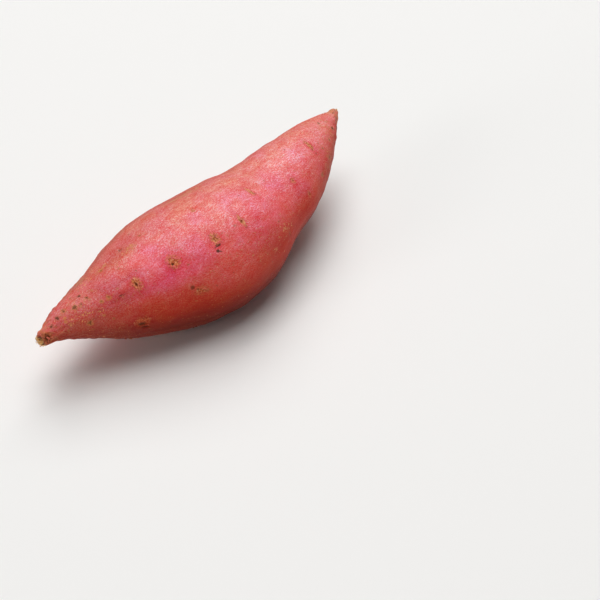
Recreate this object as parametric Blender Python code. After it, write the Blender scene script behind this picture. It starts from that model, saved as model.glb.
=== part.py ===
"""A sweet potato: one storage root, swollen in the middle, drawn out to a slender neck at its stem end
and to a cone at its root tip, lying on a small flat spot of its belly.

Metres, +Z up. The root lies along X with its stem end at -X and its root tip at +X. The origin is in
the middle of the root's box, on the surface that it rests on."""

import math

import bmesh
import bpy
import numpy as np

MM = 0.001

# Driving dimensions.
LENGTH = 205 * MM
END_ROUNDING = 1.5 * MM  # the last stretch of each end, over which it closes
REST_HEIGHT = -28.2 * MM  # height of the flat spot below the line that the stations are measured from

# The root's form, station by station, in millimetres: distance from the stem end, radius of the section,
# and how far the middle of the section lies to the side (Y) and up (Z).
STATIONS_MM = (
    (0, 2.2, 0.0, 2.0),
    (7, 4.4, 0.4, 2.0),
    (16, 7.7, 0.0, 1.5),
    (27, 12.4, -2.4, 0.5),
    (40, 17.8, -5.0, -0.5),
    (55, 23.4, -7.3, -1.0),
    (72, 27.8, -10.9, -1.0),
    (90, 28.9, -14.0, -1.0),
    (110, 27.1, -14.2, -1.5),
    (128, 22.8, -13.0, -1.0),
    (145, 20.5, -11.7, 0.5),
    (162, 17.1, -8.5, 1.5),
    (178, 12.3, -5.0, 3.0),
    (190, 7.8, -2.9, 4.5),
    (199, 3.8, -0.7, 5.5),
    (205, 1.5, 1.0, 6.0),
)

# The section isn't quite round: a flattening and a three-sided swelling that both turn along the root.
FLATTENING = 0.035  # share of the radius
FLATTENING_TWIST = 12.0  # radians a metre
SWELLING = 0.02
SWELLING_TWIST = -20.0

SEGMENTS_AROUND = 44
RINGS_ALONG = 50

SKIN_COLOUR = (0.62, 0.16, 0.15, 1.0)
SKIN_ROUGHNESS = 0.55

ROOT_NAME = "sweet_potato"


def clear_scene():
    for old in list(bpy.data.objects):
        bpy.data.objects.remove(old, do_unlink=True)


def new_collection(name):
    made = bpy.data.collections.new(name)
    bpy.context.scene.collection.children.link(made)
    return made


def new_object(name, mesh, collection):
    made = bpy.data.objects.new(name, mesh)
    collection.objects.link(made)
    return made


def smooth_curve(places, values, at):
    """A smooth curve through the values at the places: a cubic between each two, whose slope at a place
    is the slope of the parabola through it and its neighbours."""
    step = np.diff(places)
    rise = np.diff(values) / step
    slope = np.empty_like(values)
    slope[0], slope[-1] = rise[0], rise[-1]
    slope[1:-1] = (rise[:-1] * step[1:] + rise[1:] * step[:-1]) / (step[:-1] + step[1:])
    at = np.clip(at, places[0], places[-1])
    i = np.clip(np.searchsorted(places, at, side="right") - 1, 0, len(step) - 1)
    t = (at - places[i]) / step[i]
    return (
        (2 * t**3 - 3 * t**2 + 1) * values[i]
        + (t**3 - 2 * t**2 + t) * step[i] * slope[i]
        + (3 * t**2 - 2 * t**3) * values[i + 1]
        + (t**3 - t**2) * step[i] * slope[i + 1]
    )


def root_surface(along, angle):
    """Points of the root's surface, for arrays of distance from the stem end and of angle about X from
    the +Y side: the section's middle, and out from it the radius with its two slow lobes."""
    places, radii, sideways, heights = (np.array(STATIONS_MM) * MM).T
    to_end = np.clip(np.minimum(along, LENGTH - along) / END_ROUNDING, 0, 1)
    closing = np.sqrt(1 - (1 - to_end) ** 2)
    lobes = (
        1
        + FLATTENING * np.cos(2 * angle + FLATTENING_TWIST * along - 0.6)
        + SWELLING * np.cos(3 * angle + SWELLING_TWIST * along + 1.0)
    )
    radius = smooth_curve(places, radii, along) * closing * lobes
    y = smooth_curve(places, sideways, along) + radius * np.cos(angle)
    z = smooth_curve(places, heights, along) + radius * np.sin(angle)
    return np.stack([along, y, z], axis=-1)


def root_mesh():
    """A sphere drawn out along X: its poles become the two ends, its rings the sections."""
    mesh = bpy.data.meshes.new(ROOT_NAME)
    bm = bmesh.new()
    bmesh.ops.create_uvsphere(bm, u_segments=SEGMENTS_AROUND, v_segments=RINGS_ALONG, radius=1.0)
    sphere = np.array([v.co for v in bm.verts])
    along = LENGTH * (0.5 - 0.5 * np.clip(sphere[:, 2], -1, 1))
    angle = np.arctan2(-sphere[:, 1], sphere[:, 0])
    for vertex, point in zip(bm.verts, root_surface(along, angle)):
        vertex.co = point
    bmesh.ops.recalc_face_normals(bm, faces=bm.faces)
    bm.to_mesh(mesh)
    bm.free()
    mesh.shade_smooth()
    mesh.set_sharp_from_angle(angle=math.radians(40))
    return mesh


def skin_material():
    made = bpy.data.materials.new("sweet_potato_skin")
    made.use_nodes = True
    shader = made.node_tree.nodes["Principled BSDF"]
    shader.inputs["Base Color"].default_value = SKIN_COLOUR
    shader.inputs["Roughness"].default_value = SKIN_ROUGHNESS
    shader.inputs["Metallic"].default_value = 0.0
    return made


def add_root(collection):
    root = new_object(ROOT_NAME, root_mesh(), collection)
    corners = np.array(root.bound_box)
    middle = (corners.min(axis=0) + corners.max(axis=0)) / 2
    root.location = (-middle[0], -middle[1], -REST_HEIGHT)
    root.data.materials.append(skin_material())
    return root


def add_ground_cutter(collection):
    """A block whose top face is the surface that the root rests on."""
    mesh = bpy.data.meshes.new("ground_cutter")
    bm = bmesh.new()
    bmesh.ops.create_cube(bm, size=1.0)
    block = np.array([1.5 * LENGTH, LENGTH, 0.2 * LENGTH])
    bmesh.ops.scale(bm, vec=block.tolist(), verts=bm.verts)
    bm.to_mesh(mesh)
    bm.free()
    cutter = new_object("ground_cutter", mesh, collection)
    cutter.location = (0, 0, -block[2] / 2)
    cutter.hide_render = True
    cutter.display_type = "WIRE"
    return cutter


def flatten_belly(root, cutter):
    cut = root.modifiers.new("resting_spot", "BOOLEAN")
    cut.operation = "DIFFERENCE"
    cut.solver = "EXACT"
    cut.object = cutter


clear_scene()
parts = new_collection("sweet_potato")
cutters = new_collection("cutters")
flatten_belly(add_root(parts), add_ground_cutter(cutters))
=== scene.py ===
"""The looks of a sweet potato, one storage root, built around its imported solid.

Metres, +Z up. The root lies along X with its stem end at -X and its root tip at +X."""

import math

import bpy
import numpy as np
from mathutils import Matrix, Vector


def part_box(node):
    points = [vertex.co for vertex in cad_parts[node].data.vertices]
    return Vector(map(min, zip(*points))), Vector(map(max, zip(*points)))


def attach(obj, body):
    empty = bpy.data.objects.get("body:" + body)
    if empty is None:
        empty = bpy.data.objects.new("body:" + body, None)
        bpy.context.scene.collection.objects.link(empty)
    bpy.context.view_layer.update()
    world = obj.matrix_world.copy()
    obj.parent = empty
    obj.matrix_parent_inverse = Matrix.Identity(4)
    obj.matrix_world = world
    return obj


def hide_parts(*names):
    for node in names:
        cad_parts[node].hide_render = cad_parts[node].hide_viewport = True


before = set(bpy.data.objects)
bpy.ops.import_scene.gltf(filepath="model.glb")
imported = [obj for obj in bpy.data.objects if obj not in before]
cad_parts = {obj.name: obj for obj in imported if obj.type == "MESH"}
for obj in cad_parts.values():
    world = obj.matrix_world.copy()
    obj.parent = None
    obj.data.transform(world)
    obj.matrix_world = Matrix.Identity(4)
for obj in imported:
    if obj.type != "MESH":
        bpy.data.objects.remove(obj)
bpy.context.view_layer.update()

MM = 0.001
ROOT = "sweet_potato"
ROOT_LOW, ROOT_HIGH = (np.array(corner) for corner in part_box(ROOT))
ROOT_MIDDLE = (ROOT_LOW + ROOT_HIGH) / 2

# --------------------------------------------------------------------
# The camera. A long lens stands out past the stem end, on the root's front side (-Y), and looks down on
# the root, which lies above and left of the middle of the view.

CAMERA_AZIMUTH = math.radians(-52.3)
CAMERA_ELEVATION = math.radians(40)
CAMERA_DISTANCE = 815 * MM
CAMERA_LENS_MM = 110
AIM_RIGHT = 34.7 * MM  # how far right of and below the root's middle the camera aims
AIM_BELOW = 28.0 * MM


def towards(azimuth, elevation):
    """The unit vector from the root to something seen at that azimuth and elevation, where azimuth 0 is
    the -Y side and a positive one turns towards +X."""
    level = math.cos(elevation)
    return Vector((math.sin(azimuth) * level, -math.cos(azimuth) * level, math.sin(elevation)))


back = towards(CAMERA_AZIMUTH, CAMERA_ELEVATION)
right = Vector((math.cos(CAMERA_AZIMUTH), math.sin(CAMERA_AZIMUTH), 0))
aim = Vector(ROOT_MIDDLE) + right * AIM_RIGHT - back.cross(right) * AIM_BELOW
camera = bpy.data.objects.new("camera", bpy.data.cameras.new("camera"))
bpy.context.scene.collection.objects.link(camera)
camera.data.lens = CAMERA_LENS_MM
camera.data.clip_start, camera.data.clip_end = 0.05, 20
camera.location = aim + back * CAMERA_DISTANCE
camera.rotation_euler = (-back).to_track_quat("-Z", "Y").to_euler()
bpy.context.scene.camera = camera

# --------------------------------------------------------------------
# The root's form. The storage root swells as it grows and bows where the soil lets it: a slender neck at
# the stem end, a swollen middle, a waist, and a cone at the root tip.

LENGTH = ROOT_HIGH[0] - ROOT_LOW[0]
END_ROUNDING = 1.5 * MM

# Distance from the stem end, radius of the section, and how far the section's middle lies to the side
# (Y) and up (Z), in millimetres.
STATIONS_MM = (
    (0, 2.2, 0.0, 2.0),
    (7, 4.4, 0.4, 2.0),
    (16, 7.7, 0.0, 1.5),
    (27, 12.4, -2.4, 0.5),
    (40, 17.8, -5.0, -0.5),
    (55, 23.4, -7.3, -1.0),
    (72, 27.8, -10.9, -1.0),
    (90, 28.9, -14.0, -1.0),
    (110, 27.1, -14.2, -1.5),
    (128, 22.8, -13.0, -1.0),
    (145, 20.5, -11.7, 0.5),
    (162, 17.1, -8.5, 1.5),
    (178, 12.3, -5.0, 3.0),
    (190, 7.8, -2.9, 4.5),
    (199, 3.8, -0.7, 5.5),
    (205, 1.5, 1.0, 6.0),
)
STATIONS_MM = np.array(STATIONS_MM)
FLATTENING, FLATTENING_TWIST = 0.035, 12.0  # share of the radius, and its turn in radians a metre
SWELLING, SWELLING_TWIST = 0.02, -20.0


def smooth_curve(places, values, at):
    """A cubic between each two places, whose slope at a place is that of the parabola through it and its
    neighbours."""
    step = np.diff(places)
    rise = np.diff(values) / step
    slope = np.empty_like(values)
    slope[0], slope[-1] = rise[0], rise[-1]
    slope[1:-1] = (rise[:-1] * step[1:] + rise[1:] * step[:-1]) / (step[:-1] + step[1:])
    at = np.clip(at, places[0], places[-1])
    i = np.clip(np.searchsorted(places, at, side="right") - 1, 0, len(step) - 1)
    t = (at - places[i]) / step[i]
    return (
        (2 * t**3 - 3 * t**2 + 1) * values[i]
        + (t**3 - 2 * t**2 + t) * step[i] * slope[i]
        + (3 * t**2 - 2 * t**3) * values[i + 1]
        + (t**3 - t**2) * step[i] * slope[i + 1]
    )


def grown_form(along, angle):
    """The root before its surface marks: from the section's middle, out by the radius with two slow lobes
    that turn along the root. angle is about X from the +Y side, over the top."""
    places, radii, sideways, heights = (STATIONS_MM * MM).T
    to_end = np.clip(np.minimum(along, LENGTH - along) / END_ROUNDING, 0, 1)
    closing = np.sqrt(1 - (1 - to_end) ** 2)
    lobes = (
        1
        + FLATTENING * np.cos(2 * angle + FLATTENING_TWIST * along - 0.6)
        + SWELLING * np.cos(3 * angle + SWELLING_TWIST * along + 1.0)
    )
    radius = smooth_curve(places, radii, along) * closing * lobes
    y = smooth_curve(places, sideways, along) + radius * np.cos(angle)
    z = smooth_curve(places, heights, along) + radius * np.sin(angle)
    return np.stack([along, y, z], axis=-1)


def grid(rows, columns, end_share=0.2):
    """Distances and angles of a net over the whole root, a little closer towards the two ends."""
    t = np.linspace(0, 1, rows)
    along = LENGTH * ((1 - end_share) * t + end_share * (0.5 - 0.5 * np.cos(np.pi * t)))
    angle = np.linspace(0, 2 * np.pi, columns, endpoint=False)
    return np.meshgrid(along, angle, indexing="ij")


# The form is measured from its stem end; the frame says where it lies.
COARSE_ROWS, COARSE_COLUMNS = 200, 180
coarse = grown_form(*grid(COARSE_ROWS, COARSE_COLUMNS)).reshape(-1, 3)
FORM_TO_FRAME = np.array(
    [
        ROOT_LOW[0],
        ROOT_MIDDLE[1] - (coarse[:, 1].min() + coarse[:, 1].max()) / 2,
        ROOT_HIGH[2] - coarse[:, 2].max(),
    ]
)

# --------------------------------------------------------------------
# The skin's relief. Side roots once grew from the eyes, rows of small scars that sit in dimples, and the
# skin shrinks a little as it cures, most on the neck and the tip.

SCAR_DEPTH = 3.0 * MM
REST_ROUNDING = 0.6 * MM  # how softly the belly turns into the flat spot that it rests on

# Eyes: distance from the stem end, angle in degrees, half size across the root and along it, depth of the
# dimple, strength of the cork; then the core's place from the middle, across and along, its half size
# across and along, and its darkness; then how golden the cork is. Lengths are in millimetres.
EYES = [
    (58.5, 128.0, 2.9, 2.5, 0.90, 1.00, -0.7, -0.9, 0.7, 0.60, 1.00, 0.20),
    (42.0, 128.0, 2.8, 2.1, 0.80, 0.95, -0.2, -0.2, 1.1, 0.50, 0.95, 0.50),
    (78.0, 127.5, 2.6, 1.9, 0.55, 0.95, -0.5, -0.2, 0.9, 0.45, 0.40, 0.75),
    (93.5, 126.5, 2.9, 1.1, 0.80, 0.95, 0.0, 0.0, 1.0, 0.45, 0.55, 0.90),
    (111.0, 108.0, 2.7, 1.1, 0.35, 0.95, 0.8, 0.0, 0.5, 0.30, 0.20, 1.00),
    (162.0, 115.0, 3.0, 1.2, 0.30, 1.00, 0.9, 0.0, 0.6, 0.30, 0.20, 1.00),
    (38.5, 186.0, 2.6, 3.2, 0.70, 1.00, -1.4, 0.0, 0.8, 1.60, 0.90, 0.00),
    (40.0, 197.0, 1.0, 2.6, 0.60, 0.25, 0.0, 0.0, 0.6, 1.80, 0.75, 0.00),
    (62.5, 166.0, 2.1, 2.3, 0.60, 0.85, 0.9, -0.8, 0.5, 0.50, 0.70, 0.10),
    (60.0, 160.0, 1.1, 0.9, 0.30, 0.25, 0.0, 0.0, 1.0, 0.80, 0.75, 0.00),
    (50.0, 74.5, 1.6, 2.2, 0.55, 0.15, 0.0, 0.0, 0.7, 1.20, 0.35, 0.30),
    (83.5, 89.0, 1.5, 0.9, 0.25, 0.35, 0.0, 0.0, 0.6, 0.40, 0.25, 0.50),
    (136.0, 128.5, 1.7, 1.1, 0.30, 0.60, 0.0, 0.3, 0.5, 0.45, 0.60, 0.70),
    (158.0, 158.5, 1.3, 1.1, 0.25, 0.50, 0.0, 0.0, 0.7, 0.60, 0.50, 0.50),
    (140.5, 155.0, 1.8, 1.2, 0.25, 0.45, 0.3, 0.2, 0.6, 0.50, 0.40, 0.50),
    (117.0, 165.5, 1.5, 1.1, 0.25, 0.40, 0.0, -0.2, 0.6, 0.50, 0.45, 0.30),
    (30.5, 125.0, 1.2, 0.7, 0.20, 0.60, 0.0, 0.0, 0.6, 0.40, 0.60, 0.80),
    (2.5, 158.0, 2.4, 2.2, 0.30, 0.80, 0.3, -0.2, 1.5, 1.30, 1.00, 0.50),
]
# On the other sides the eyes follow rows along the root, with the same spread of sizes.
EYE_ROWS_DEG = (20, 235, 275, 325)
EYE_SPACING = 27  # millimetres, on average

random = np.random.default_rng(7)
for row in EYE_ROWS_DEG:
    place = random.uniform(24, 44)
    while place < 185:
        size = random.uniform(1.1, 2.6)
        across, along = size * random.uniform(1.0, 1.4), size * random.uniform(0.45, 0.9)
        off_across, off_along = random.uniform(-0.3, 0.3, 2) * (across, along)
        core = random.uniform(0.25, 0.4)
        cork, dark = random.uniform(0.4, 1.0), random.uniform(0.3, 1.0)
        angle = row + random.uniform(-9, 9)
        depth = 0.3 * size * random.uniform(0.6, 1.3)
        golden = random.uniform(0.0, 1.0)
        dimple = (place, angle, across, along, depth, cork)
        EYES.append((*dimple, off_across, off_along, core * across, core * along, dark, golden))
        place += EYE_SPACING * random.uniform(0.6, 1.4)
EYES = np.array(EYES)

# Lenticels, the small breathing pores: distance in millimetres, angle in degrees, radius in millimetres,
# darkness of the pore and strength of the cork around it. They crowd on the neck.
LENTICELS_AT_RANDOM = 120
LENTICELS = [
    (1.5, 105, 0.70, 0.9, 0.3), (6.5, 107, 0.85, 1.0, 0.2), (10.5, 100, 0.95, 1.0, 0.2),
    (14.5, 95, 0.90, 0.9, 0.8), (18.5, 108, 1.00, 1.0, 0.8), (21.0, 109, 0.70, 0.9, 0.4),
    (23.5, 87, 0.80, 1.0, 0.2), (24.5, 103, 0.75, 0.9, 0.5), (12.5, 119, 0.55, 0.2, 0.9),
    (27.5, 127, 0.70, 0.6, 1.0), (20.0, 165, 1.00, 0.9, 1.0), (41.5, 125, 0.60, 0.7, 0.3),
    (59.5, 79, 0.60, 0.5, 0.4), (57.0, 134, 0.55, 0.6, 0.3), (59.0, 120, 0.55, 0.5, 0.3),
    (89.0, 127, 0.55, 0.5, 0.4), (123.5, 107, 0.55, 0.4, 0.3), (162.0, 131, 0.50, 0.6, 0.3),
    (168.5, 136, 0.60, 0.6, 0.5), (168.0, 125, 0.50, 0.4, 0.4), (178.5, 142, 0.80, 0.7, 0.8),
    (183.0, 97, 0.70, 0.8, 0.5), (188.0, 139, 1.00, 1.0, 0.6), (196.0, 146, 0.80, 0.8, 0.4),
    (199.5, 104, 0.50, 0.8, 0.6), (170.5, 158, 0.80, 0.8, 0.5), (156.5, 157, 0.90, 0.6, 0.7),
    (101.5, 88, 0.55, 0.3, 0.6), (82.5, 92, 0.80, 0.3, 0.9), (38.0, 76, 0.70, 0.8, 0.9),
    (22.5, 38, 0.60, 0.7, 0.5), (29.5, 61, 0.60, 0.4, 0.8), (30.5, 127, 0.90, 0.3, 1.0),
    (12.0, 131, 0.55, 0.2, 1.0), (25.5, 155, 0.50, 0.2, 0.9),
]
for _ in range(LENTICELS_AT_RANDOM):
    place, angle = random.beta(0.7, 1.5) * 196 + 5, random.uniform(0, 360)
    radius = random.uniform(0.28, 0.55)
    LENTICELS.append((place, angle, radius, random.uniform(0.1, 0.8), random.uniform(0.1, 0.7)))
LENTICELS = np.array(LENTICELS)


def soft_noise(points, size, seed, waves=28):
    """Smooth noise about 0 with a spread of 1: a sum of sine waves of random heading and phase, all about
    size long."""
    chance = np.random.default_rng(seed)
    heading = chance.normal(size=(waves, 3))
    heading /= np.linalg.norm(heading, axis=1, keepdims=True)
    turns = heading * (2 * np.pi / size) * chance.uniform(0.7, 1.4, size=(waves, 1))
    phase = chance.uniform(0, 2 * np.pi, waves)
    total = np.zeros(points.shape[:-1])
    for k in range(waves):
        total += np.sin(points @ turns[k] + phase[k])
    return total * math.sqrt(2 / waves)


def outward(along, angle):
    """The form's outward normal, from its slopes along and around the root."""
    nudge_along, nudge_angle = 0.05 * MM, 1e-3
    inner = np.clip(along, END_ROUNDING / 4, LENGTH - END_ROUNDING / 4)
    by_length = grown_form(inner + nudge_along, angle) - grown_form(inner - nudge_along, angle)
    by_turn = grown_form(inner, angle + nudge_angle) - grown_form(inner, angle - nudge_angle)
    normal = np.cross(by_turn, by_length)
    return normal / np.maximum(np.linalg.norm(normal, axis=-1, keepdims=True), 1e-12)


def nearest_mark(points, places_mm, angles_deg, half_across, half_along):
    """For each point, the mark that it is nearest to, in that mark's own half sizes, and where the point
    lies in them: along the root, around it, and the distance."""
    marks = grown_form(places_mm * MM, np.radians(angles_deg))
    normal = outward(places_mm * MM, np.radians(angles_deg))
    lengthwise = np.array([1.0, 0, 0]) - normal * normal[:, :1]
    lengthwise /= np.linalg.norm(lengthwise, axis=1, keepdims=True)
    sideways = np.cross(normal, lengthwise)
    best = np.full(points.shape[:-1], np.inf)
    chosen = np.zeros(points.shape[:-1], int)
    place = np.zeros(points.shape[:-1] + (2,))
    for k, middle in enumerate(marks):
        offset = points - middle
        u = offset @ lengthwise[k] / half_along[k]
        v = offset @ sideways[k] / half_across[k]
        w = offset @ normal[k] / max(half_along[k], half_across[k])
        distance = np.sqrt(u**2 + v**2 + w**2)
        closer = distance < best
        best = np.where(closer, distance, best)
        chosen = np.where(closer, k, chosen)
        place[closer] = np.stack([u, v], axis=-1)[closer]
    return chosen, place, best


def core_distance(chosen, place):
    """How far a point at that place near its eye is from the eye's core, in the core's half sizes."""
    eye = np.moveaxis(EYES[chosen], -1, 0)
    across, along = eye[2:4]
    core_across, core_along, half_across, half_along = eye[6:10]
    off_along = (place[..., 0] * along - core_along) / half_along
    off_across = (place[..., 1] * across - core_across) / half_across
    return np.hypot(off_along, off_across)


def step_between(value, low, high):
    """0 below low, 1 above high and a smooth rise between."""
    t = np.clip((value - low) / (high - low), 0, 1)
    return t * t * (3 - 2 * t)


def patch(along_mm, angle_deg, places):
    """How much each point lies in any of the soft patches, each a place, an angle, a half length in
    millimetres, a half width in degrees and a strength."""
    total = np.zeros(np.shape(along_mm))
    for place, angle, half_length, half_width, strength in places:
        turn = (angle_deg - angle + 180) % 360 - 180
        bell = np.exp(-(((along_mm - place) / half_length) ** 2) - (turn / half_width) ** 2)
        total = np.maximum(total, strength * bell)
    return total


def skin_form(along, angle):
    """The finished skin: the grown form, moved along its normal by slow undulations, wrinkles on the neck
    and the tip, dimples, pits and lips at the eyes and small pimples at the lenticels, and pressed flat
    where it rests. Returns the points and the form's normals."""
    form = grown_form(along, angle)
    normal = outward(along, angle)
    along_mm = along / MM
    relief = 0.20 * soft_noise(form, 34 * MM, 11) + 0.10 * soft_noise(form, 13 * MM, 12)
    long_form = form * np.array([0.25, 1, 1])
    relief += 0.05 * soft_noise(long_form, 3.2 * MM, 13, 40)
    ends = 1 - step_between(along_mm, 12, 45) + step_between(along_mm, 172, 200)
    cross_form = form * np.array([1, 0.3, 0.3])
    relief += ends * 0.09 * soft_noise(cross_form, 2.6 * MM, 14, 40)
    relief += ends * 0.10 * soft_noise(long_form, 2.4 * MM, 15)
    # The torn collar around the scar at the stem end.
    collar = np.exp(-(((along_mm - 2.0) / 1.8) ** 2))
    relief += collar * (0.40 + 0.14 * soft_noise(form * np.array([0.5, 1, 1]), 2.0 * MM, 19))
    # The shallow fold that runs from the neck to the eye near the top.
    fold_angle = 67 + (along_mm - 41) * 1.7
    fold_near = np.exp(-(((along_mm - 45) / 5) ** 2))
    fold_side = ((np.degrees(angle) - fold_angle + 180) % 360 - 180) / 2.6
    relief += 0.55 * fold_near * fold_side * np.exp(-(fold_side**2))

    chosen, place, distance = nearest_mark(form, EYES[:, 0], EYES[:, 1], EYES[:, 2] * MM, EYES[:, 3] * MM)
    depth = EYES[chosen, 4]
    ragged = distance * (1 + 0.15 * soft_noise(form, 1.6 * MM, 16))
    core = core_distance(chosen, place) * (1 + 0.12 * soft_noise(form, 1.1 * MM, 17))
    relief -= 0.70 * depth * np.exp(-((distance / 1.7) ** 2))
    relief -= 0.80 * depth * np.exp(-((core / 1.1) ** 2))
    relief += 0.28 * depth * np.exp(-(((ragged - 0.95) / 0.25) ** 2))
    pore = LENTICELS[:, 2] * MM
    _, _, distance = nearest_mark(form, LENTICELS[:, 0], LENTICELS[:, 1], pore, pore)
    relief += 0.08 * np.exp(-(((distance - 1) / 0.5) ** 2)) - 0.12 * np.exp(-((distance / 0.6) ** 2))

    closed = step_between(np.minimum(along, LENGTH - along), 0, END_ROUNDING)
    points = form + normal * (relief * closed * MM)[..., None] + FORM_TO_FRAME
    # Where the stalk broke off, the torn rim of the skin turns inwards around the scar.
    inside = 1 - step_between(along_mm, 0.02, 0.45)
    points[..., 0] += inside * SCAR_DEPTH
    rim = np.exp(-(((along_mm - 0.6) / 0.7) ** 2))
    points[..., 0] += rim * 0.35 * MM * soft_noise(form * np.array([0.3, 1, 1]), 2.2 * MM, 18)
    height = points[..., 2]
    points[..., 2] = (height + np.sqrt(height**2 + REST_ROUNDING**2)) / 2
    return points, normal


def net_size(net):
    """How many points a net has, with its two poles."""
    return net.shape[0] * net.shape[1] + 2


def net_faces(rows, columns):
    """Quads of a net that closes around, between row k and row k + 1, facing outwards, and a fan of
    triangles at each end to a pole point."""
    k, j = np.meshgrid(np.arange(rows - 1), np.arange(columns), indexing="ij")
    a, b = k * columns + j, k * columns + (j + 1) % columns
    quads = np.stack([a, b, b + columns, a + columns], axis=-1).reshape(-1, 4)
    j = np.arange(columns)
    first, last = rows * columns, rows * columns + 1
    base = (rows - 1) * columns
    start = np.stack([np.full(columns, first), (j + 1) % columns, j], axis=-1)
    end = np.stack([np.full(columns, last), base + j, base + (j + 1) % columns], axis=-1)
    return quads, np.concatenate([start, end])


def closed_surfaces(name, nets, material):
    """One object from one or more nets of points, rows by columns, that each close around, and each
    one's two pole points."""
    points, faces, start = [], [], 0
    for net, first, last in nets:
        quads, triangles = net_faces(*net.shape[:2])
        points += [net.reshape(-1, 3), [first], [last]]
        faces += [*(quads + start).tolist(), *(triangles + start).tolist()]
        start += net_size(net)
    mesh = bpy.data.meshes.new(name)
    mesh.from_pydata(np.concatenate(points), [], faces)
    mesh.shade_smooth()
    mesh.materials.append(material)
    made = bpy.data.objects.new(name, mesh)
    bpy.context.scene.collection.objects.link(made)
    return made


def give_attribute(mesh, name, values):
    """Writes one number or one vector for each point."""
    kind, field = ("FLOAT", "value") if values.ndim == 1 else ("FLOAT_VECTOR", "vector")
    made = mesh.attributes.new(name, kind, "POINT")
    made.data.foreach_set(field, np.ascontiguousarray(values, np.float32).ravel())


# --------------------------------------------------------------------
# The skin's material. It is periderm, a thin dry cork over pink-red flesh: fine fibres that run along
# the root, a satin surface, tan cork at the eyes and russet where the outer layer has rubbed off.


def colour(hex_code):
    """An sRGB hex colour as linear RGBA."""
    parts = [int(hex_code[i : i + 2], 16) / 255 for i in (1, 3, 5)]
    return tuple(c / 12.92 if c <= 0.04045 else ((c + 0.055) / 1.055) ** 2.4 for c in parts) + (1.0,)


def add(tree, kind, sockets=None, **settings):
    """Adds a shader node of that kind with its settings. sockets gives each input by name or number a
    value, or the node or the output that is linked to it; a node gives its first output that is in use."""
    node = tree.nodes.new("ShaderNode" + kind)
    for name, value in settings.items():
        setattr(node, name, value)
    for key, value in (sockets or {}).items():
        named = [s for s in node.inputs if s.enabled and s.name == key]
        socket = named[0] if named else node.inputs[key]
        if isinstance(value, bpy.types.Node):
            value = next(s for s in value.outputs if s.enabled)
        if isinstance(value, bpy.types.NodeSocket):
            tree.links.new(value, socket)
        else:
            socket.default_value = value
    return node


def new_material(name):
    """A material with an empty node tree."""
    made = bpy.data.materials.new(name)
    made.use_nodes = True
    made.node_tree.nodes.clear()
    return made, made.node_tree


def shaded(tree, under, value, low, high, dark, light):
    """under times a ratio of red, green and blue that goes from dark to light as value goes from low to
    high."""
    share = add(tree, "MapRange", {"Value": value, "From Min": low, "From Max": high})
    ratio = add(tree, "Mix", {"Factor": share, "A": (*dark, 1), "B": (*light, 1)}, data_type="RGBA")
    return add(tree, "VectorMath", {0: under, 1: ratio}, operation="MULTIPLY")


def coated(tree, under, over, value, low, high, most=1.0, strength=1.0):
    """under, covered by over as value goes smoothly from low to high, at most by that share, times the
    strength. Returns the colour and the cover."""
    ends = {"Value": value, "From Min": low, "From Max": high, "To Max": most}
    cover = add(tree, "MapRange", ends, interpolation_type="SMOOTHSTEP")
    cover = add(tree, "Math", {0: cover, 1: strength}, operation="MULTIPLY")
    return add(tree, "Mix", {"Factor": cover, "A": under, "B": over}, data_type="RGBA"), cover


FIBRE_WIDTH_MM = 0.28  # real fibres are about 0.2 mm; they are drawn as coarse as they show
FIBRE_LENGTH_MM = 1.7


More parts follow.
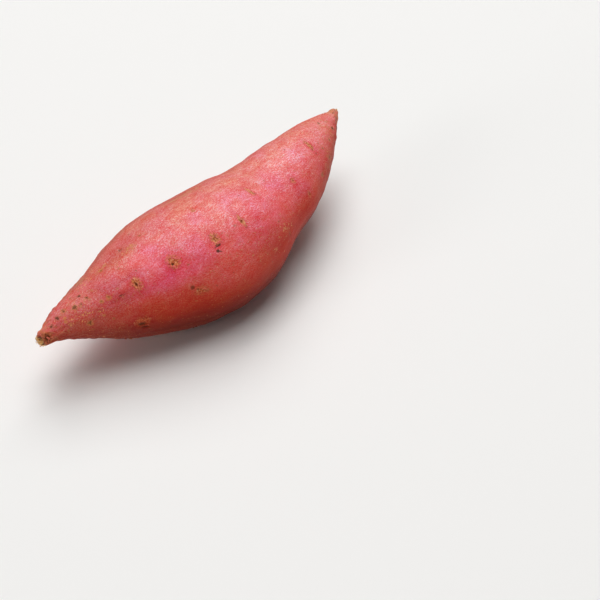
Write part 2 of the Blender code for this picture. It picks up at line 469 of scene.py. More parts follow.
def skin_material():
    """Periderm: matt to satin, flecked at every size from fibres to patches. Noise scales are in grains a
    millimetre, so 1.1 is a grain of 0.9 mm."""
    made, tree = new_material("sweet_potato_periderm")
    place = add(tree, "TexCoord").outputs["Object"]
    in_mm = add(tree, "Mapping", {"Vector": place, "Scale": (1000, 1000, 1000)})
    drift = add(tree, "TexNoise", {"Vector": in_mm, "Scale": 0.14, "Detail": 2.0})
    drift = drift.outputs["Color"]
    drift = add(tree, "VectorMath", {0: drift, 1: (0.5, 0.5, 0.5)}, operation="SUBTRACT")
    drift = add(tree, "VectorMath", {0: drift, "Scale": 3.6}, operation="SCALE")
    wavy = add(tree, "VectorMath", {0: in_mm, 1: drift}, operation="ADD")

    painted = {}
    for name in ("tone", "russet", "golden", "smudge", "lenticel", "eye", "eye_core", "eye_look"):
        painted[name] = add(tree, "Attribute", attribute_name=name).outputs

    # The tone, the skin's colour with a painted highlight on top and painted shade below; it turns slowly
    # between salmon and magenta, and mottles every few millimetres.
    tone = painted["tone"]["Vector"]
    even = {"Scale": 1.0, "Detail": 2.0, "Roughness": 0.5}
    slow = add(tree, "TexNoise", {**even, "Vector": in_mm, "Scale": 1 / 11})
    skin = shaded(tree, tone, slow, 0.35, 0.65, (1.0, 1.05, 0.88), (1.0, 0.95, 1.06))
    mottle_space = add(tree, "Mapping", {"Vector": in_mm, "Scale": (1 / 7, 1 / 3.4, 1 / 3.4)})
    mottle = add(tree, "TexNoise", {**even, "Vector": mottle_space, "Detail": 1.5})
    skin = shaded(tree, skin, mottle, 0.34, 0.66, (0.96, 0.80, 0.77), (1.02, 1.18, 1.23))

    # Fibres run lengthwise, a finer grain crosses them, and a few threads are bleached.
    lengthwise = (1 / FIBRE_LENGTH_MM, 1 / FIBRE_WIDTH_MM, 1 / FIBRE_WIDTH_MM)
    fibre_space = add(tree, "Mapping", {"Vector": wavy, "Scale": lengthwise})
    fibres = add(tree, "TexNoise", {**even, "Vector": fibre_space, "Roughness": 0.6})
    skin = shaded(tree, skin, fibres, 0.36, 0.64, (0.96, 0.46, 0.42), (1.01, 1.54, 1.60))
    crosswise = (1 / 0.30, 1 / 0.55, 1 / 0.55)
    cross_space = add(tree, "Mapping", {"Vector": in_mm, "Scale": crosswise})
    grain = add(tree, "TexNoise", {**even, "Vector": cross_space, "Roughness": 0.6})
    skin = shaded(tree, skin, grain, 0.36, 0.64, (0.97, 0.50, 0.46), (1.01, 1.52, 1.56))
    thread_space = add(tree, "Mapping", {"Vector": wavy, "Scale": (1 / 5.0, 1 / 0.38, 1 / 0.38)})
    threads = add(tree, "TexNoise", {**even, "Vector": thread_space, "Detail": 1.0, "Distortion": 0.2})
    skin = shaded(tree, skin, threads, 0.32, 0.56, (0.96, 0.82, 0.80), (1.0, 1.0, 1.0))
    skin = shaded(tree, skin, threads, 0.57, 0.70, (1.0, 1.0, 1.0), (1.04, 1.50, 1.38))

    # Flecks of cork and of darker skin, finer than a millimetre.
    fleck = add(tree, "TexNoise", {"Vector": in_mm, "Scale": 1.1, "Detail": 4.0, "Roughness": 0.75})
    skin, _ = coated(tree, skin, colour("#c9743f"), fleck, 0.63, 0.72, 0.7)
    skin, _ = coated(tree, skin, colour("#8c2f30"), fleck, 0.37, 0.29, 0.6)

    # Golden flecks of cork, short strokes along the fibres, thick on the neck.
    stroke_space = add(tree, "Mapping", {"Vector": wavy, "Scale": (0.7, 1.3, 1.3)})
    strokes = add(tree, "TexNoise", {"Vector": stroke_space, "Scale": 1.0, "Detail": 3.0, "Roughness": 0.7})
    golden = add(tree, "Math", {0: painted["golden"]["Fac"], 1: 0.12, 2: strokes}, operation="MULTIPLY_ADD")
    skin, _ = coated(tree, skin, colour("#a0583a"), golden, 0.645, 0.69, 0.6)
    skin, _ = coated(tree, skin, colour("#f4a86c"), golden, 0.67, 0.725, 0.9)

    # Russet: tan cork where the outer layer is gone, in ragged patches.
    worn = add(tree, "TexNoise", {"Vector": wavy, "Scale": 0.55, "Detail": 5.0, "Roughness": 0.75})
    russet = add(tree, "Math", {0: painted["russet"]["Fac"], 1: 0.30, 2: worn}, operation="MULTIPLY_ADD")
    skin, _ = coated(tree, skin, colour("#c98a58"), russet, 0.62, 0.86, 0.75)

    # Smudges: grey-brown stain in grains.
    grains = add(tree, "TexNoise", {"Vector": in_mm, "Scale": 0.9, "Detail": 4.0, "Roughness": 0.75})
    smudge = add(tree, "Math", {0: painted["smudge"]["Fac"], 1: 0.60, 2: grains}, operation="MULTIPLY_ADD")
    skin, _ = coated(tree, skin, colour("#503a2a"), smudge, 0.80, 1.06, 0.92)

    # Lenticels: a soft brown dot with a ragged edge in a thin ring of golden cork.
    rag = add(tree, "TexNoise", {"Vector": in_mm, "Scale": 1.5, "Detail": 3.0, "Roughness": 0.7})
    lenticel = add(tree, "SeparateXYZ", {"Vector": painted["lenticel"]["Vector"]})
    away = add(tree, "Math", {0: rag, 1: 4.0, 2: lenticel.outputs["X"]}, operation="MULTIPLY_ADD")
    skin, _ = coated(tree, skin, colour("#de8850"), away, 3.6, 2.9, 0.9, lenticel.outputs["Z"])
    skin, _ = coated(tree, skin, colour("#6e3c26"), away, 3.3, 2.3, 1.0, lenticel.outputs["Y"])

    # Eyes: a dark red halo of painted shade around the dimple, cork that goes from orange to pink in flakes,
    # golden in some and darker where the tone holds painted shade, and a dark core.
    look = add(tree, "SeparateXYZ", {"Vector": painted["eye_look"]["Vector"]})
    away = add(tree, "Math", {0: rag, 1: 3.0, 2: painted["eye"]["Fac"]}, operation="MULTIPLY_ADD")
    # The halo is painted shade: the skin darkened around the eye's dimple.
    halo_shade = add(tree, "VectorMath", {0: skin, 1: (0.92, 0.50, 0.62)}, operation="MULTIPLY")
    skin, _ = coated(tree, skin, halo_shade, away, 4.1, 2.6, 0.8, look.outputs["Z"])
    flaky = add(tree, "TexNoise", {"Vector": in_mm, "Scale": 1.3, "Detail": 3.0, "Roughness": 0.7})
    cork_colour = add(tree, "ValToRGB", {"Fac": flaky})
    ramp = cork_colour.color_ramp.elements
    ramp[0].position, ramp[0].color = 0.36, colour("#7c2a10")
    ramp[1].position, ramp[1].color = 0.66, colour("#ffcbb0")
    for at, shade in ((0.43, "#cc5228"), (0.50, "#ea7a4c"), (0.57, "#e09050")):
        ramp.new(at).color = colour(shade)
    golden_colour = add(tree, "ValToRGB", {"Fac": flaky})
    ramp = golden_colour.color_ramp.elements
    ramp[0].position, ramp[0].color = 0.38, colour("#9a4e2c")
    ramp[1].position, ramp[1].color = 0.64, colour("#f8ba8a")
    ramp.new(0.50).color = colour("#dc8a52")
    cork_colour, _ = coated(tree, cork_colour, golden_colour, look.outputs["Y"], 0.0, 1.0)
    # Painted shade: the cork follows the tone's red down to dark brown, where the skin is painted in shade.
    tone_shade = add(tree, "SeparateXYZ", {"Vector": tone})
    cork_colour = shaded(tree, cork_colour, tone_shade.outputs["X"], 0.3, 0.9, (0.60, 0.22, 0.10), (1.0, 1.0, 1.0))
    skin, cork = coated(tree, skin, cork_colour, away, 2.85, 2.2, 0.95, look.outputs["Z"])
    away = add(tree, "Math", {0: rag, 1: 1.6, 2: painted["eye_core"]["Fac"]}, operation="MULTIPLY_ADD")
    skin, _ = coated(tree, skin, colour("#5c260c"), away, 2.3, 1.3, 1.0, look.outputs["X"])

    # Relief finer than the mesh: the fibres stand a few hundredths of a millimetre proud, cork is rough.
    height = add(tree, "Math", {0: grain, 1: 0.5, 2: fibres}, operation="MULTIPLY_ADD")
    height = add(tree, "Math", {0: threads, 1: 1.0, 2: height}, operation="MULTIPLY_ADD")
    height = add(tree, "Math", {0: mottle, 1: 1.0, 2: height}, operation="MULTIPLY_ADD")
    flakes = add(tree, "Math", {0: cork, 1: flaky}, operation="MULTIPLY")
    height = add(tree, "Math", {0: flakes, 1: 1.4, 2: height}, operation="MULTIPLY_ADD")
    bump = add(tree, "Bump", {"Height": height, "Strength": 0.4, "Distance": 0.22 * MM})
    rough = {"Value": fleck, "From Min": 0.3, "From Max": 0.7, "To Min": 0.44, "To Max": 0.62}
    rough = add(tree, "MapRange", rough)
    gloss = {"Roughness": rough, "Normal": bump, "IOR": 1.45, "Specular IOR Level": 0.16}
    sheen = {"Sheen Weight": 0.02, "Sheen Roughness": 0.4, "Sheen Tint": colour("#f0b890")}
    shader = add(tree, "BsdfPrincipled", {"Base Color": skin, **gloss, **sheen})
    add(tree, "OutputMaterial", {"Surface": shader})
    return made


# --------------------------------------------------------------------
# The skin itself, one closed surface over the whole root, in one piece as it grew.

SKIN_ROWS, SKIN_COLUMNS = 360, 272
POLE_GAP = 0.02 * MM  # from each pole to the first row of the net

# The colour around the middle of the root, with light and shade painted into it: pale salmon on top,
# partly a painted highlight, rose on the flanks, and darker along the upper back edge and dark brown-red
# below, which is painted shade.
TONE_AND_SHADING_AROUND = (
    (10, "#c9604f"), (40, "#c45440"), (55, "#dc6a5e"), (70, "#e47872"), (85, "#ee827c"),
    (100, "#f5868a"), (115, "#fc8690"), (125, "#fc7882"), (135, "#f86c74"), (145, "#f26468"),
    (155, "#e8544a"), (165, "#da4530"), (175, "#cc381e"), (185, "#b42a08"), (195, "#921c02"),
    (208, "#781804"), (230, "#8c3424"), (260, "#b25246"), (290, "#c46058"), (325, "#cb6458"),
)
# Patches of another tone; the pale ones on top are partly painted highlight, the dark ones on the neck,
# along the upper back edge and below partly painted shade. Distance, angle, half length in millimetres,
# half width in degrees, colour and strength.
TONE_AND_SHADING_PATCHES = (
    (8, 95, 26, 50, "#d4605a", 0.85), (12, 150, 22, 26, "#c84c46", 0.75),
    (14, 172, 22, 24, "#c85a4a", 0.75), (12, 205, 24, 24, "#b04434", 0.80),
    (30, 45, 5, 14, "#a8483c", 0.60), (30, 106, 5, 20, "#cc524c", 0.70),
    (44, 108, 8, 12, "#fa7078", 0.60), (42, 139, 6, 13, "#ea5256", 0.60),
    (46, 75, 14, 15, "#ce5850", 0.70), (54, 110, 9, 14, "#ff7482", 0.50),
    (80, 156, 18, 15, "#f66c62", 0.75), (66, 58, 7, 10, "#e6807c", 0.50),
    (89, 114, 8, 8, "#fc999c", 0.50), (112, 98, 8, 10, "#ee7c74", 0.60),
    (96, 52, 15, 8, "#c4503a", 0.70), (122, 54, 14, 8, "#c84a34", 0.65),
    (34, 135, 8, 11, "#c43e44", 0.70), (36, 115, 7, 15, "#d05258", 0.65),
    (56, 139, 12, 11, "#fa5874", 0.75), (84, 160, 12, 12, "#fa5c52", 0.50),
    (138, 72, 18, 16, "#f28c8c", 0.65), (144, 102, 17, 16, "#fd94a2", 0.70),
    (152, 138, 16, 12, "#e2665c", 0.50), (118, 166, 20, 14, "#cc2410", 0.75),
    (182, 106, 20, 34, "#f28a7c", 0.70), (186, 72, 16, 12, "#da6248", 0.50),
    (184, 140, 20, 14, "#dd6654", 0.60), (178, 168, 24, 20, "#bc3420", 0.80),
    (70, 300, 24, 26, "#d8767a", 0.60), (140, 340, 28, 30, "#dd7f7c", 0.60),
    (110, 255, 26, 24, "#c25a5e", 0.55), (160, 270, 24, 30, "#c87066", 0.60),
    (35, 330, 18, 30, "#c65f66", 0.60),
)


def tones_and_shading(along_mm, angle_deg):
    """The colour at each point, in linear light, with its painted highlight and painted shade: the tones
    around the root joined by straight ramps, with each patch mixed over it as a soft bell."""
    angles, codes = zip(*TONE_AND_SHADING_AROUND)
    ring = np.array([colour(code)[:3] for code in codes])
    tone = np.stack([np.interp(angle_deg, angles, ring[:, k], period=360) for k in range(3)], axis=-1)
    for *where, code, strength in TONE_AND_SHADING_PATCHES:
        share = patch(along_mm, angle_deg, [(*where, strength)])[:, None]
        tone = tone * (1 - share) + np.array(colour(code)[:3]) * share
    return tone


def give_bake_map(mesh, rows, columns):
    """A UV map for the baked textures: along the root to the right and around it upwards, each pole as
    the tip of its own triangle."""
    k, j = np.meshgrid(np.arange(rows - 1), np.arange(columns), indexing="ij")
    edge = 0.004  # share of the map's width that each end's fan takes
    u0, u1 = edge + (1 - 2 * edge) * k / (rows - 1), edge + (1 - 2 * edge) * (k + 1) / (rows - 1)
    v0, v1 = j / columns, (j + 1) / columns
    quads = np.stack([u0, v0, u0, v1, u1, v1, u1, v0], axis=-1)
    j = np.arange(columns)
    v0, v1 = j / columns, (j + 1) / columns
    low, high = np.full(columns, edge), np.full(columns, 1 - edge)
    start = np.stack([np.zeros(columns), (v0 + v1) / 2, low, v1, low, v0], axis=-1)
    end = np.stack([np.ones(columns), (v0 + v1) / 2, high, v0, high, v1], axis=-1)
    corners = np.concatenate([quads.ravel(), start.ravel(), end.ravel()])
    made = mesh.uv_layers.new(name="OFBake")
    made.data.foreach_set("uv", corners.astype(np.float32))


along, angle = grid(SKIN_ROWS, SKIN_COLUMNS)
along = np.clip(along, POLE_GAP, LENGTH - POLE_GAP)
poles = np.array([0, LENGTH]), np.zeros(2)
net, _ = skin_form(along, angle)
(first, last), _ = skin_form(*poles)
skin = closed_surfaces("skin", [(net, first, last)], skin_material())
give_bake_map(skin.data, SKIN_ROWS, SKIN_COLUMNS)

form = np.concatenate([grown_form(along, angle).reshape(-1, 3), grown_form(*poles)])
along_mm = np.append(along.ravel(), poles[0]) / MM
angle_deg = np.degrees(np.append(angle.ravel(), poles[1]))
give_attribute(skin.data, "tone", tones_and_shading(along_mm, angle_deg))

# Where the skin is russet, flecked with gold and smudged: distance, angle, half length in millimetres,
# half width in degrees and strength.
RUSSET = [
    (0, 90, 8, 400, 1.0), (205, 90, 12, 400, 1.0), (52, 84, 4, 6, 0.9), (92, 58, 16, 8, 0.9),
    (39, 184, 4, 7, 0.8), (64, 166, 4, 6, 0.8), (39, 73, 4, 4, 0.9), (30, 45, 10, 14, 0.8),
    (16, 100, 14, 40, 0.5), (40, 140, 8, 12, 0.5), (170, 160, 16, 16, 0.6), (185, 110, 14, 40, 0.5),
    (60, 260, 14, 20, 0.9), (120, 310, 16, 24, 0.9),
]
give_attribute(skin.data, "russet", patch(along_mm, angle_deg, RUSSET))
GOLDEN = [
    (19, 137, 7, 8, 1.2), (20, 118, 8, 8, 0.8), (52, 83, 4, 5, 1.2), (116, 158, 10, 8, 1.0),
    (103.6, 167, 3, 4, 1.2), (15, 150, 10, 14, 0.9), (31, 66, 9, 12, 0.9), (27, 145, 8, 14, 0.7),
    (12, 90, 12, 60, 0.4), (96, 150, 40, 18, 0.45), (150, 120, 34, 40, 0.3), (178, 138, 18, 24, 0.7),
    (20, 250, 20, 60, 0.7), (185, 90, 16, 60, 0.35), (190, 270, 16, 60, 0.5), (60, 300, 20, 20, 0.5),
]
give_attribute(skin.data, "golden", patch(along_mm, angle_deg, GOLDEN))
SMUDGES = [
    (77.3, 134.0, 1.6, 1.7, 1.3), (75.8, 135.0, 1.1, 1.6, 1.0), (75.8, 138.6, 1.4, 2.0, 1.1),
    (77.0, 140.5, 0.8, 1.3, 0.8), (50.0, 73.5, 1.8, 2.8, 0.6), (46.5, 71.5, 2.6, 1.4, 0.5),
    (35.0, 134.0, 4.0, 6.0, 0.55), (198.0, 150.0, 3.0, 20.0, 0.75), (194.0, 164.0, 6.0, 13.0, 0.8),
    (34.5, 132.5, 1.6, 2.4, 0.8), (201.0, 110.0, 3.0, 60.0, 0.55), (190.0, 150.0, 3.0, 8.0, 0.6),
    (38.5, 199.0, 2.0, 4.0, 0.5), (88.0, 262.0, 3.0, 4.0, 0.7), (140.0, 318.0, 2.4, 5.0, 0.6),
    (0.0, 150.0, 1.6, 400.0, 0.9),
]
give_attribute(skin.data, "smudge", patch(along_mm, angle_deg, SMUDGES))

MARK_REACH = 4.0  # beyond so many half sizes, a mark no longer colours the skin
chosen, place, distance = nearest_mark(form, EYES[:, 0], EYES[:, 1], EYES[:, 2] * MM, EYES[:, 3] * MM)
core = np.where(distance < MARK_REACH, core_distance(chosen, place), MARK_REACH)
give_attribute(skin.data, "eye", np.minimum(distance, MARK_REACH))
give_attribute(skin.data, "eye_core", np.minimum(core, MARK_REACH))
DARKNESS, GOLD, CORK = 10, 11, 5  # their columns in EYES
give_attribute(skin.data, "eye_look", EYES[chosen][:, [DARKNESS, GOLD, CORK]])
pore = LENTICELS[:, 2] * MM
chosen, _, distance = nearest_mark(form, LENTICELS[:, 0], LENTICELS[:, 1], pore, pore)
distance = np.minimum(distance, MARK_REACH)
give_attribute(skin.data, "lenticel", np.column_stack([distance, LENTICELS[chosen, 3:5]]))

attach(skin, "root")
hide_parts(ROOT)

# --------------------------------------------------------------------
# The scar of the stalk. The root was snapped off its vine: a chunk of pale woody fibre still stands at
# one side of the break, the rest is a hollow, painted dark as shade where it lies deep. It sits inside the
# torn rim of the skin.

SCAR_RADIUS = 2.6 * MM
SCAR_ROWS, SCAR_COLUMNS = 30, 44
FACE_SHARE = 0.8  # share of the net's rows on the broken face; the others close it inside the root
CHUNK_SIDE = (0.61, -0.79)  # the way across the face, in Y and Z, towards the chunk
STALK_FIBRES = 26
STALK_FIBRE_POINTS = 6
STRAND_SIDES = 7


def cork_material(name, dark, middle, light, grain_mm):
    """Dried woody tissue: matt, streaked from brown to straw, in grains of that size."""
    made, tree = new_material(name)
    place = add(tree, "TexCoord").outputs["Object"]
    in_grains = add(tree, "Mapping", {"Vector": place, "Scale": (1 / (grain_mm * MM),) * 3})
    grain = add(tree, "TexNoise", {"Vector": in_grains, "Scale": 1.0, "Detail": 4.0, "Roughness": 0.7})
    tint = add(tree, "ValToRGB", {"Fac": grain})
    ramp = tint.color_ramp.elements
    ramp[0].position, ramp[0].color = 0.34, colour(dark)
    ramp[1].position, ramp[1].color = 0.66, colour(light)
    ramp.new(0.5).color = colour(middle)
    # Painted shade: the hollow attribute darkens the deep hollow of the stalk's scar, and some of its fibres
    # at random.
    hollow = add(tree, "Attribute", attribute_name="hollow").outputs["Fac"]
    tint, _ = coated(tree, tint, colour("#6a3a1c"), hollow, 0.0, 1.0)
    # The tone of the skin beneath, with its painted highlight and shade.
    bed = add(tree, "Attribute", attribute_name="bed").outputs["Vector"]
    bed_share = add(tree, "Attribute", attribute_name="bed_share").outputs["Fac"]
    tint, _ = coated(tree, tint, bed, bed_share, 0.0, 1.0)
    bump = add(tree, "Bump", {"Height": grain, "Strength": 0.8, "Distance": 0.3 * MM})
    gloss = {"Roughness": 0.85, "Normal": bump, "Specular IOR Level": 0.2}
    shader = add(tree, "BsdfPrincipled", {"Base Color": tint, **gloss})
    add(tree, "OutputMaterial", {"Surface": shader})
    return made


def strand(path, up, half_width, half_height, columns=STRAND_SIDES):
    """A net of a strip or thread: an oval profile, half_width to the side and half_height along up, carried
    along the path, with its two ends as poles."""
    ahead = np.gradient(path, axis=0)
    ahead /= np.linalg.norm(ahead, axis=1, keepdims=True)
    up = up - ahead * (up * ahead).sum(axis=1, keepdims=True)
    up /= np.linalg.norm(up, axis=1, keepdims=True)
    side = np.cross(up, ahead)
    around = np.linspace(0, 2 * np.pi, columns, endpoint=False)[None, :, None]
    net = (
        path[:, None]
        + side[:, None] * np.cos(around) * half_width[:, None, None]
        + up[:, None] * np.sin(around) * half_height[:, None, None]
    )
    return net, path[0] - ahead[0] * half_width[0] / 2, path[-1] + ahead[-1] * half_width[-1] / 2


def scar_face(t, angle):
    """The broken face and its back: out from the middle at t = 0 to the rim, then back into the root. Its
    height is a chunk on the far low side, a hollow on the near high side, and crumbs on both. Returns the
    points and the painted shade of each: dark in the deep hollow, less where crumbs stand up."""
    middle = FORM_TO_FRAME + STATIONS_MM[0, [0, 2, 3]] * MM
    out = np.minimum(t / FACE_SHARE, 1) * SCAR_RADIUS * (1 - 0.5 * np.maximum(t - FACE_SHARE, 0))
    y, z = out * np.cos(angle), out * np.sin(angle)
    across = (CHUNK_SIDE[0] * y + CHUNK_SIDE[1] * z) / MM
    flat = np.stack([np.zeros_like(y), y, z], axis=-1)
    crumbs = 0.30 * soft_noise(flat, 1.3 * MM, 21) + 0.22 * soft_noise(flat, 0.6 * MM, 22, 40)
    chunk = step_between(across + 0.3 * soft_noise(flat, 1.5 * MM, 23), -0.3, 0.7)
    hollow = step_between(0.5 * soft_noise(flat, 1.7 * MM, 24) - across, -0.6, 0.7)
    depth = 1.4 - 1.0 * chunk + 0.5 * hollow - crumbs
    back = step_between(t, FACE_SHARE, 1) * 3.0
    x = middle[0] + (depth + back) * MM
    # Painted shade: darker where the face lies deep in the hollow, lighter where crumbs stand up.
    shade = np.clip(0.75 * hollow - 0.7 * step_between(crumbs, 0.0, 0.5), 0, 1)
    return np.stack([x, middle[1] + y, middle[2] + z], axis=-1), shade


t = np.linspace(0.03, 0.99, SCAR_ROWS)
angle = np.linspace(0, 2 * np.pi, SCAR_COLUMNS, endpoint=False)
face, hollow = scar_face(*np.meshgrid(t, angle, indexing="ij"))
(first, last), _ = scar_face(np.array([0.0, 1.0]), np.zeros(2))
last[1:] = face[-1, :, 1:].mean(axis=0)
nets = [(face, first, last)]
shades = [hollow.ravel(), hollow[0, :2].mean(keepdims=True), [0.0]]

random = np.random.default_rng(31)
for _ in range(STALK_FIBRES):
    turn, reach = random.uniform(-2.4, 0.6), random.uniform(0.5, 1.0) * SCAR_RADIUS
    foot = face.reshape(-1, 3).mean(axis=0) * np.array([0, 1, 1])
    foot = foot + np.array([ROOT_LOW[0] + 1.6 * MM, reach * math.cos(turn), reach * math.sin(turn)])
    lean = random.uniform(-0.35, 0.35, 2)
    length = random.uniform(1.0, 2.2) * MM
    run = np.linspace(0, 1, STALK_FIBRE_POINTS)[:, None]
    path = foot + length * run * np.array([-1.0, *lean]) + length * 0.25 * run**2 * np.array([0, *lean[::-1]])
    girth = random.uniform(0.10, 0.22) * MM * np.array([1.0, 1.1, 1.0, 0.8, 0.6, 0.3])
    up = np.tile([0.0, math.cos(turn), math.sin(turn)], (STALK_FIBRE_POINTS, 1))
    nets.append(strand(path, up, girth * random.uniform(1.0, 2.2), girth))
    shade = random.choice([0.0, 0.15, 0.6], p=[0.6, 0.25, 0.15])
    shades.append(np.full(net_size(nets[-1][0]), shade))

stalk_wood = cork_material("broken_stalk_wood", "#cc8446", "#ffcc86", "#ffeabc", 0.8)
stem_scar = closed_surfaces("stem_scar", nets, stalk_wood)
give_attribute(stem_scar.data, "hollow", np.concatenate(shades))
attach(stem_scar, "root")

# --------------------------------------------------------------------
# The root tip. The thin tail root dried and broke a few millimetres past the end of the flesh, and left
# a wisp of straw-coloured fibres.

# Length in millimetres, lean to the side and upwards as shares of it, and half width in millimetres.
TIP_FIBRES = (
    (0.9, 0.10, 0.90, 0.55),
    (0.7, 0.60, 0.10, 0.45),
    (0.8, -0.50, 0.60, 0.40),
    (0.6, 0.05, -0.60, 0.45),
)
TIP_FIBRE_ROOT_MM = 1.6  # how deep each one starts inside the flesh
TIP_FIBRE_GIRTHS = np.array([1.6, 1.6, 1.5, 1.3, 1.1, 1.0, 0.8, 0.6, 0.25])

tip = FORM_TO_FRAME + STATIONS_MM[-1, [0, 2, 3]] * MM
nets = []
for length, sideways, upwards, girth in TIP_FIBRES:
    run = np.linspace(0, 1, len(TIP_FIBRE_GIRTHS))
    reach = (length + TIP_FIBRE_ROOT_MM) * run - TIP_FIBRE_ROOT_MM
    path = tip + MM * np.stack([reach, sideways * run**2 * length, upwards * run**2 * length], axis=-1)
    girths = girth * MM * TIP_FIBRE_GIRTHS
    nets.append(strand(path, np.tile([0.0, 0.0, 1.0], (len(run), 1)), girths, girths * 0.8))
tail_root = cork_material("dried_tail_root", "#8a5a2c", "#d6ac6c", "#f2dca6", 0.7)
root_tip = closed_surfaces("root_tip", nets, tail_root)
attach(root_tip, "root")

# --------------------------------------------------------------------
# Rootlets. A few dried hair roots still hang from the eyes and lie against the skin.

# Distance and angle of the foot, length in millimetres, heading in degrees (0 towards the tip, 90 down the
# front), and radius in millimetres.
ROOTLETS = (
    (42.2, 129.5, 6.4, 98, 0.17),
    (58.0, 130.5, 2.4, 120, 0.15),
    (93.4, 128.0, 3.0, 80, 0.15),
    (78.4, 126.5, 2.6, -60, 0.15),
    (63.0, 163.5, 4.4, 38, 0.20),
    (111.3, 110.5, 1.8, 60, 0.14),
    (161.9, 118.0, 2.6, 75, 0.13),
    (4.0, 118.0, 3.4, 30, 0.18),
    (6.0, 70.0, 3.0, -20, 0.18),
    (8.0, 160.0, 4.0, 10, 0.16),
    (196.0, 120.0, 5.0, 15, 0.16),
    (194.0, 40.0, 4.0, -10, 0.15),
)
ROOTLET_POINTS = 14
ROOTLET_LOWEST = 0.25 * MM  # the middle of a rootlet stays so far above the table


def radius_there(along_mm):
    """The radius of the section at that distance, in millimetres."""
    return np.interp(along_mm, *STATIONS_MM[:, :2].T)


def give_bed(made, nets, places, turns, share):
    """Gives each strand of the object, one a net, the tone of the skin beneath its middle, with the painted
    highlight and shade that the tone holds, and the share of that tone in its colour."""
    points_each = net_size(nets[0][0])
    middle = np.array(places).shape[1] // 2
    tone = tones_and_shading(np.array(places)[:, middle], np.array(turns)[:, middle] % 360)
    give_attribute(made.data, "bed", np.repeat(tone, points_each, axis=0))
    give_attribute(made.data, "bed_share", np.full(len(tone) * points_each, share))


hidden_eyes = EYES[(EYES[:, 1] < 60) | (EYES[:, 1] > 210)]

random = np.random.default_rng(41)
threads = list(ROOTLETS)
for place, turn in hidden_eyes[::2, :2]:
    threads.append((place, turn, random.uniform(2, 8), random.uniform(0, 360), random.uniform(0.12, 0.2)))
places, turns, lifts, girths = [], [], [], []
for place, turn, length, heading, radius in threads:
    run = np.linspace(0, 1, ROOTLET_POINTS)
    bend = np.radians(heading + 45 * random.uniform(-1, 1) * run + 25 * np.sin(run * random.uniform(3, 8)))
    step = length / ROOTLET_POINTS
    places.append(place + np.cumsum(np.cos(bend)) * step)
    turns.append(turn + np.degrees(np.cumsum(np.sin(bend)) * step / radius_there(place)))
    lifts.append(radius * 0.6 + 0.35 * np.sin(np.pi * run) ** 2 * random.uniform(0.2, 1.0))
    girths.append(radius * (1 - 0.65 * run**2) * (1 + 0.15 * np.sin(run * 17)))
bed, bed_normal = skin_form(np.array(places) * MM, np.radians(turns))
nets = []
for points, normal, lift, girth in zip(bed, bed_normal, lifts, girths):
    path = points + normal * (lift * MM)[:, None]
    path[:, 2] = np.maximum(path[:, 2], ROOTLET_LOWEST)
    nets.append(strand(path, normal, girth * MM, girth * MM * 0.8))
hair_root = cork_material("dried_hair_root", "#8c5028", "#cc8a58", "#e6ac7c", 0.9)
rootlets = closed_surfaces("rootlets", nets, hair_root)
give_bed(rootlets, nets, places, turns, 0.5)
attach(rootlets, "root")

# --------------------------------------------------------------------
# Cork flakes. At the lips of the eyes, and here and there between them, the outer skin has split and
# curls up in thin scales.

# Distance, angle, half length and half width in millimetres, heading in degrees, and how far the end lifts.
FLAKES = [
    (2.4, 151.0, 0.8, 0.40, 60, 0.40), (3.9, 163.0, 0.6, 0.30, 20, 0.30),
    (2.0, 172.0, 0.6, 0.30, 95, 0.30), (59.1, 123.4, 1.0, 0.32, -70, 0.30),
    (59.9, 125.6, 1.1, 0.34, 60, 0.34), (61.0, 127.4, 0.8, 0.26, 85, 0.26),
    (56.6, 126.0, 0.7, 0.28, 110, 0.20), (57.4, 132.6, 0.8, 0.24, 20, 0.18),
    (42.9, 131.2, 0.8, 0.30, 60, 0.22), (43.6, 128.2, 0.7, 0.25, 95, 0.20),
    (40.6, 126.4, 0.6, 0.24, 70, 0.18), (78.9, 131.8, 0.9, 0.30, 15, 0.26),
    (77.2, 125.0, 0.8, 0.26, 80, 0.22), (79.2, 127.4, 0.9, 0.24, 75, 0.22),
    (93.9, 124.6, 0.9, 0.26, 75, 0.22), (90.0, 126.0, 0.9, 0.22, 10, 0.18),
    (111.0, 105.4, 0.8, 0.24, 75, 0.16), (63.6, 163.8, 1.8, 0.36, 36, 0.30),
    (62.4, 168.4, 1.0, 0.34, 10, 0.26), (47.6, 78.0, 1.2, 0.26, 30, 0.20),
    (135.4, 127.4, 0.8, 0.26, 40, 0.22), (161.4, 111.6, 0.9, 0.24, 80, 0.16),
]
FLAKE_POINTS, FLAKE_SIDES = 7, 8
FLAKE_LOWEST = 0.15 * MM  # and that of a flake so far
FLAKES_AN_EYE = 3
FLAKES_AT_RANDOM = 60

random = np.random.default_rng(53)
for place, turn, half_across, half_along in hidden_eyes[:, :4]:
    for _ in range(FLAKES_AN_EYE):
        around = random.uniform(0, 2 * np.pi)
        at = place + half_along * math.cos(around)
        angle = turn + math.degrees(half_across * math.sin(around) / radius_there(place))
        size = random.uniform(0.5, 1.2), random.uniform(0.2, 0.36)
        heading = math.degrees(around) + 90 + random.uniform(-25, 25)
        FLAKES.append((at, angle, *size, heading, random.uniform(0.14, 0.32)))
for _ in range(FLAKES_AT_RANDOM):
    at = random.choice([random.uniform(4, 34), random.uniform(34, 198)])
    angle = random.uniform(0, 360)
    size = random.uniform(0.4, 1.1), random.uniform(0.12, 0.24)
    FLAKES.append((at, angle, *size, random.normal(0, 30), random.uniform(0.05, 0.16)))
FLAKES = np.array(FLAKES)
run = np.linspace(-1, 1, FLAKE_POINTS)
heading = np.radians(FLAKES[:, 4:5])
places = FLAKES[:, :1] + run * FLAKES[:, 2:3] * np.cos(heading)
turns = FLAKES[:, 1:2] + np.degrees(run * FLAKES[:, 2:3] * np.sin(heading) / radius_there(FLAKES[:, :1]))
bed, bed_normal = skin_form(places * MM, np.radians(turns))
half_thickness = np.full(FLAKE_POINTS, 0.05 * MM)
nets = []
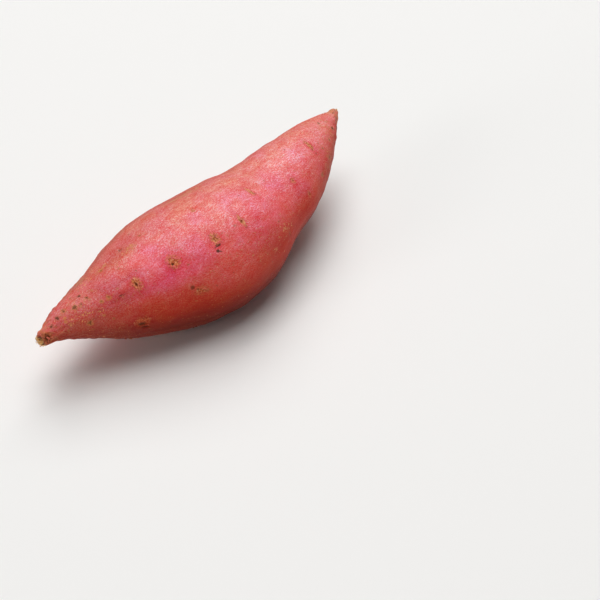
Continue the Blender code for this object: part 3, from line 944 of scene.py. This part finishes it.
for points, normal, (*_, half_width, _, lift) in zip(bed, bed_normal, FLAKES):
    curl = lift * ((run + 1) / 2) ** 2 + 0.03
    outline = half_width * np.sqrt(1 - (0.94 * run) ** 2) * random.uniform(0.7, 1.3, FLAKE_POINTS)
    path = points + normal * (curl * MM)[:, None]
    path[:, 2] = np.maximum(path[:, 2], FLAKE_LOWEST)
    nets.append(strand(path, normal, outline * MM, half_thickness, FLAKE_SIDES))
curled_skin = cork_material("curled_periderm", "#bc5a34", "#dc8858", "#f0b088", 1.2)
cork_flakes = closed_surfaces("cork_flakes", nets, curled_skin)
give_bed(cork_flakes, nets, places, turns, 0.65)
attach(cork_flakes, "root")

# --------------------------------------------------------------------
# Table and light: a white table, a large soft box overhead, a second behind the root and past its tip, a
# small low one past the stem end, and a dim even room.

TABLE_SIZE = 6.0
LIGHT_DISTANCE = 3.0
ROOM_BRIGHTNESS = 0.12


def table_material():
    """Uncoated white paper: an even, matt, pale ground."""
    made, tree = new_material("white_paper")
    shader = add(tree, "BsdfPrincipled", {"Base Color": colour("#f4f3f1"), "Roughness": 0.8})
    add(tree, "OutputMaterial", {"Surface": shader})
    return made


half = TABLE_SIZE / 2
mesh = bpy.data.meshes.new("table")
mesh.from_pydata([(-half, -half, 0), (half, -half, 0), (half, half, 0), (-half, half, 0)], [], [(0, 1, 2, 3)])
mesh.materials.append(table_material())
table = bpy.data.objects.new("table", mesh)
bpy.context.scene.collection.objects.link(table)


def soft_box(name, azimuth_deg, elevation_deg, size, watts):
    """A square white area light that faces the root's middle."""
    data = bpy.data.lights.new(name, "AREA")
    data.size = size
    data.energy = watts
    made = bpy.data.objects.new(name, data)
    direction = towards(math.radians(azimuth_deg), math.radians(elevation_deg))
    made.location = Vector(ROOT_MIDDLE) + direction * LIGHT_DISTANCE
    made.rotation_euler = (-direction).to_track_quat("-Z", "Y").to_euler()
    bpy.context.scene.collection.objects.link(made)


soft_box("overhead", 0, 89, 2.1, 50)
soft_box("behind", 128, 55, 2.1, 44)
soft_box("stem_side", -104, 18, 0.9, 13)

world = bpy.data.worlds.new("room")
world.use_nodes = True
background = world.node_tree.nodes["Background"]
background.inputs["Color"].default_value = colour("#ffffff")
background.inputs["Strength"].default_value = ROOM_BRIGHTNESS
bpy.context.scene.world = world
bpy.context.scene.view_settings.view_transform = "Standard"
